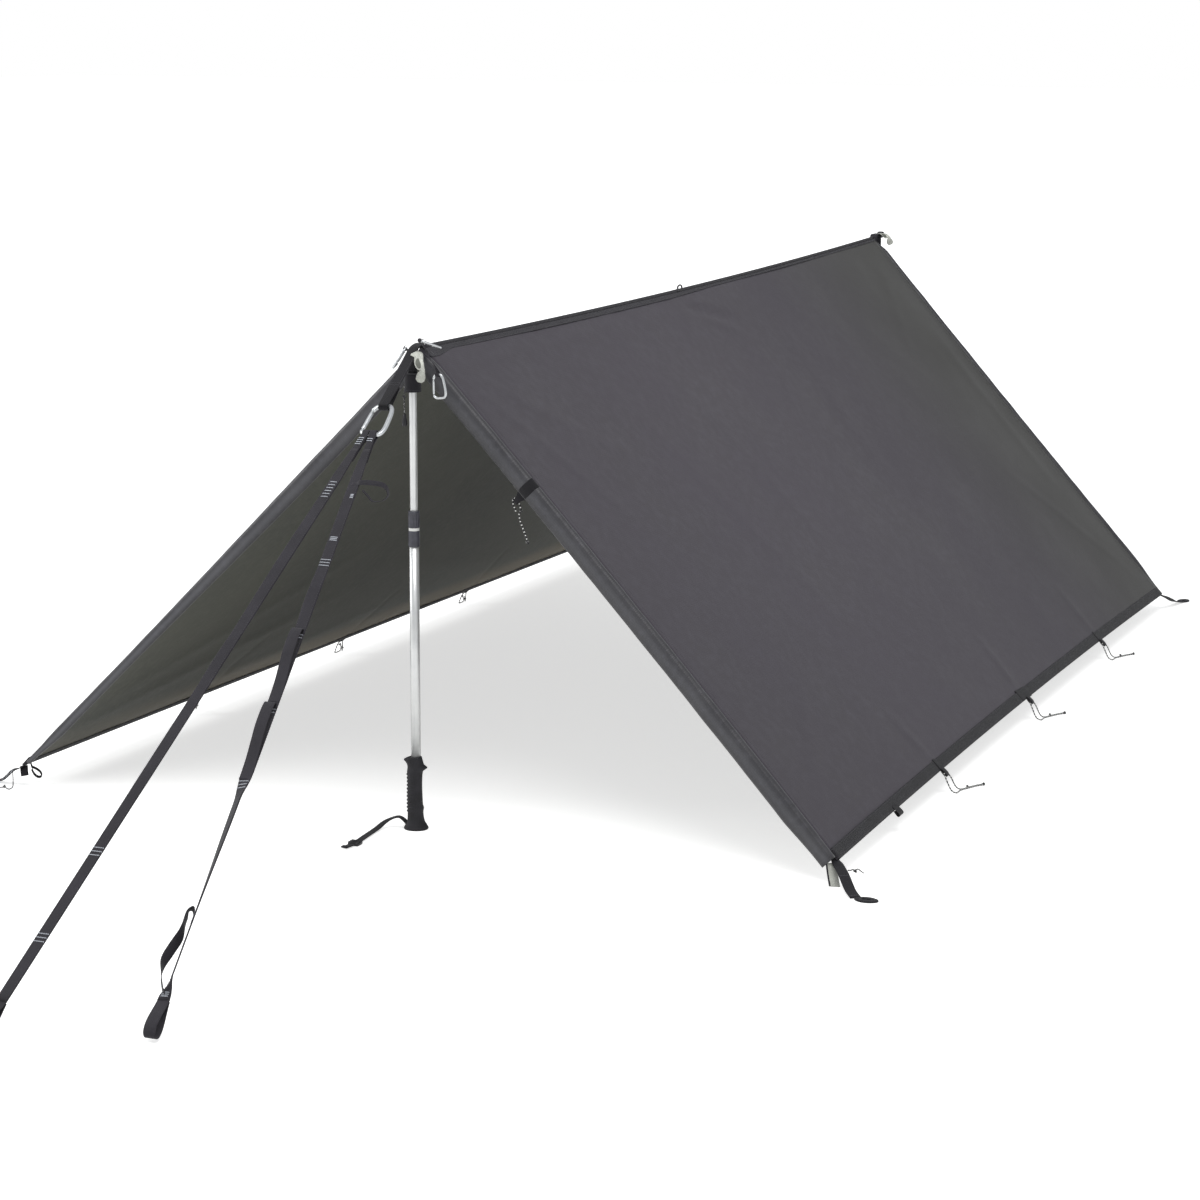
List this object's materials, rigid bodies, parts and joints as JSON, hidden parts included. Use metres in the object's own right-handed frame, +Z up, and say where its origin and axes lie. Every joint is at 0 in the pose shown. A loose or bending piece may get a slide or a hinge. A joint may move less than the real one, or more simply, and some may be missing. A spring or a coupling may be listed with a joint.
{
  "type": "camping tarp",
  "caption": "Ridge tarp pitched as an A-frame on upturned trekking poles, with webbing guy straps, carabiners, corner peg webs and corded tie-outs.",
  "frame": {"origin": "on the ground under the middle of the ridge, at the bottom centre of the bounding box without the straps and cords", "axes": "+Z up, the ridge along Y with the front peak and the guy straps at -Y, +X to the right of the ridge as seen from the front"},
  "size_m": [2.1224, 4.7744, 1.0373],
  "materials": {
    "cloth": "coated tarp cloth, dark grey outside",
    "hem": "rolled hem, cool grey",
    "webbing": "woven webbing, near black",
    "reflective": "pale reflective tape",
    "metal": "satin",
    "shaft": "satin anodised",
    "plastic": "moulded",
    "rubber": "ribbed foam",
    "cord": "braided, black and white"
  },
  "bodies": {
    "ridge": {"ridge_webbing": "webbing", "front_peak_web": "webbing", "rear_peak_web": "webbing", "front_pole_pocket": "webbing", "rear_pole_pocket": "webbing", "front_peak_tab": "reflective", "rear_peak_tab": "reflective", "clip_web": "webbing", "main_carabiner": "metal", "front_upper_shaft": "shaft", "rear_upper_shaft": "shaft", "pocket_pull_cord": "cord", "pocket_pull_toggle": "plastic", "left_strap": "webbing", "right_strap": "webbing", "right_slack_loop": "webbing"},
    "right_slope": {"right_panel": "cloth", "right_front_hem": "hem", "right_rear_hem": "hem", "right_bottom_binding": "webbing", "right_ridge_binding": "webbing", "right_front_corner_web": "webbing", "right_rear_corner_web": "webbing", "right_corner_tab": "reflective", "right_tie_cord_1": "cord", "right_tie_cord_2": "cord", "right_tie_cord_3": "cord", "front_edge_cord": "cord", "right_corner_cord": "cord", "ridge_carabiner": "metal"},
    "left_slope": {"left_panel": "cloth", "left_front_hem": "hem", "left_rear_hem": "hem", "left_bottom_binding": "webbing", "left_ridge_binding": "webbing", "left_front_corner_web": "webbing", "left_rear_corner_web": "webbing", "left_tie_cord_1": "cord", "left_tie_cord_2": "cord", "left_tie_cord_3": "cord", "left_corner_cord": "cord", "hem_carabiner": "metal"},
    "front_pole_base": {"front_lower_shaft": "shaft", "front_grip": "rubber", "front_lower_collar": "plastic", "front_wrist_strap": "webbing", "front_strap_buckle": "plastic"},
    "front_pole_lock": {"front_lock_collar": "plastic"},
    "rear_pole_base": {"rear_lower_shaft": "shaft", "rear_grip": "rubber", "rear_lower_collar": "plastic", "rear_wrist_strap": "webbing", "rear_strap_buckle": "plastic"},
    "rear_pole_lock": {"rear_lock_collar": "plastic"},
    "hanging_clip": {"hanging_carabiner": "metal"},
    "main_gate_arm": {"main_gate": "metal"},
    "ridge_gate_arm": {"ridge_gate": "metal"},
    "hem_gate_arm": {"hem_gate": "metal"},
    "hanging_gate_arm": {"hanging_gate": "metal"}
  },
  "joints": [
    {"name": "right_lift", "type": "hinge", "parent": "ridge", "child": "right_slope", "pos_m": [0, 0, 1.011], "axis": [0, -1, -0.0073], "range_deg": [0, 45]},
    {"name": "left_lift", "type": "hinge", "parent": "ridge", "child": "left_slope", "pos_m": [0, 0, 1.011], "axis": [0, 1, 0.0073], "range_deg": [0, 45]},
    {"name": "front_pole_slide", "type": "slide", "parent": "ridge", "child": "front_pole_base", "axis": [0, 0, -1], "range_m": [-0.12, 0.12]},
    {"name": "rear_pole_slide", "type": "slide", "parent": "ridge", "child": "rear_pole_base", "axis": [0, 0, -1], "range_m": [-0.12, 0.12]},
    {"name": "front_lock_turn", "type": "hinge", "parent": "front_pole_base", "child": "front_pole_lock", "pos_m": [0, -1.546, 0.6534], "axis": [0, 0, 1], "range_deg": [0, 120]},
    {"name": "rear_lock_turn", "type": "hinge", "parent": "rear_pole_base", "child": "rear_pole_lock", "pos_m": [0, 1.546, 0.6534], "axis": [0, 0, 1], "range_deg": [0, 120]},
    {"name": "hanging_clip_swing", "type": "hinge", "parent": "ridge", "child": "hanging_clip", "pos_m": [0.05815, -1.55, 0.95238], "axis": [0.995, 0, 0.1], "range_deg": [-60, 20]},
    {"name": "main_gate_turn", "type": "hinge", "parent": "ridge", "child": "main_gate_arm", "pos_m": [-0.01499, -1.69382, 0.89201], "axis": [0, -0.5678, 0.8232], "range_deg": [0, 22], "stiffness_Nm_per_rad": 0.1, "springref_deg": -28.65},
    {"name": "ridge_gate_turn", "type": "hinge", "parent": "right_slope", "child": "ridge_gate_arm", "pos_m": [0.01406, -1.53707, 1.01736], "axis": [-0.2198, -0.2796, -0.9346], "range_deg": [0, 22], "stiffness_Nm_per_rad": 0.02, "springref_deg": -28.65},
    {"name": "hem_gate_turn", "type": "hinge", "parent": "left_slope", "child": "hem_gate_arm", "pos_m": [-0.03499, -1.50967, 0.99332], "axis": [-0.8008, -0.2309, 0.5527], "range_deg": [0, 22], "stiffness_Nm_per_rad": 0.02, "springref_deg": -28.65},
    {"name": "hanging_gate_turn", "type": "hinge", "parent": "hanging_clip", "child": "hanging_gate_arm", "pos_m": [0.04796, -1.55, 0.94246], "axis": [0, -1, 0], "range_deg": [0, 22], "stiffness_Nm_per_rad": 0.02, "springref_deg": -28.65}
  ]
}
